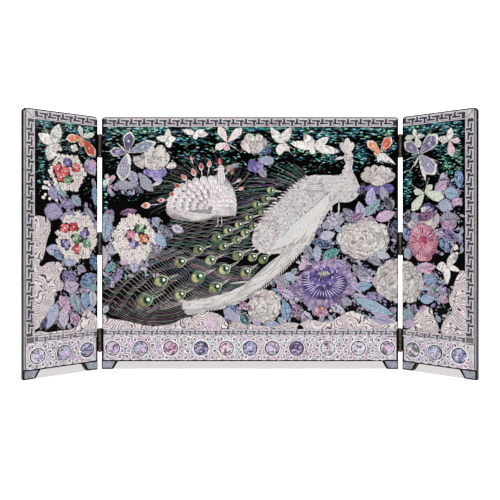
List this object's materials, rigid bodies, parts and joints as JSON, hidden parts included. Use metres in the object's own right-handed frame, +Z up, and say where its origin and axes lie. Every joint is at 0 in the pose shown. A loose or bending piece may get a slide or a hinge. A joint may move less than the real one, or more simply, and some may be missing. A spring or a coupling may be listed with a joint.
{
  "type": "tabletop folding screen",
  "caption": "Tabletop folding screen: a wide lacquered board and two narrow hinged wings on bracket feet, faced with raised mother-of-pearl birds, flowers and key-fret borders.",
  "frame": {"origin": "on the table, at the middle of the standing footprint with the wings at their resting angle", "axes": "+X along the centre board, towards the right wing as seen from the decorated side; +Y to the back; +Z up. The decorated faces look along -Y"},
  "size_m": [0.5568, 0.072, 0.33],
  "materials": {
    "black_lacquer": "polished black lacquer over wood",
    "hinge_brass": "antiqued brass, worn bright on the knuckles",
    "screw_brass": "antiqued brass",
    "white_shell": "pearly white mother-of-pearl, engraved",
    "lilac_shell": "pale lilac mother-of-pearl strip",
    "purple_abalone": "purple and blue abalone shell",
    "green_abalone": "green and teal abalone shell",
    "rock_shell": "white shell with dark engraved lines",
    "red_tinted_shell": "shell tinted red from behind",
    "grey_shell": "dark grey-purple shell"
  },
  "bodies": {
    "centre": {"centre_abalone_clouds": "green_abalone", "centre_board": "black_lacquer", "centre_butterflies": "white_shell", "centre_foot_facings": "grey_shell", "centre_fret_border": "lilac_shell", "centre_frieze_roundels": "purple_abalone", "centre_frieze_scrollwork": "lilac_shell", "centre_hydrangea": "white_shell", "centre_leaves": "purple_abalone", "centre_lotus_flowers": "white_shell", "centre_peonies": "white_shell", "centre_rocks": "rock_shell", "large_peacock": "white_shell", "left_bottom_hinge_centre_leaf": "hinge_brass", "left_bottom_hinge_pin": "hinge_brass", "left_centre_leaf_screws": "screw_brass", "left_middle_hinge_centre_leaf": "hinge_brass", "left_middle_hinge_pin": "hinge_brass", "left_top_hinge_centre_leaf": "hinge_brass", "left_top_hinge_pin": "hinge_brass", "peacock_train_eyes": "green_abalone", "right_bottom_hinge_centre_leaf": "hinge_brass", "right_bottom_hinge_pin": "hinge_brass", "right_centre_leaf_screws": "screw_brass", "right_middle_hinge_centre_leaf": "hinge_brass", "right_middle_hinge_pin": "hinge_brass", "right_top_hinge_centre_leaf": "hinge_brass", "right_top_hinge_pin": "hinge_brass", "small_peacock": "white_shell", "small_peacock_fan_eyes": "red_tinted_shell"},
    "left_wing": {"left_abalone_clouds": "green_abalone", "left_board": "black_lacquer", "left_bottom_hinge_wing_leaf": "hinge_brass", "left_butterflies": "white_shell", "left_flowers": "white_shell", "left_foot_facings": "grey_shell", "left_fret_border": "lilac_shell", "left_frieze_roundels": "purple_abalone", "left_frieze_scrollwork": "lilac_shell", "left_leaves": "purple_abalone", "left_middle_hinge_wing_leaf": "hinge_brass", "left_rocks": "rock_shell", "left_top_hinge_wing_leaf": "hinge_brass", "left_wing_leaf_screws": "screw_brass"},
    "right_wing": {"right_abalone_clouds": "green_abalone", "right_board": "black_lacquer", "right_bottom_hinge_wing_leaf": "hinge_brass", "right_butterflies": "white_shell", "right_flowers": "white_shell", "right_foot_facings": "grey_shell", "right_fret_border": "lilac_shell", "right_frieze_roundels": "purple_abalone", "right_frieze_scrollwork": "lilac_shell", "right_leaves": "purple_abalone", "right_middle_hinge_wing_leaf": "hinge_brass", "right_rocks": "rock_shell", "right_top_hinge_wing_leaf": "hinge_brass", "right_wing_leaf_screws": "screw_brass"}
  },
  "joints": [
    {"name": "left_wing_hinge", "type": "hinge", "parent": "centre", "child": "left_wing", "pos_m": [-0.1963, 0.02595, 0.164], "axis": [0, 0, 1], "range_deg": [-46, 140]},
    {"name": "right_wing_hinge", "type": "hinge", "parent": "centre", "child": "right_wing", "pos_m": [0.1963, 0.02595, 0.164], "axis": [0, 0, -1], "range_deg": [-46, 140]}
  ]
}
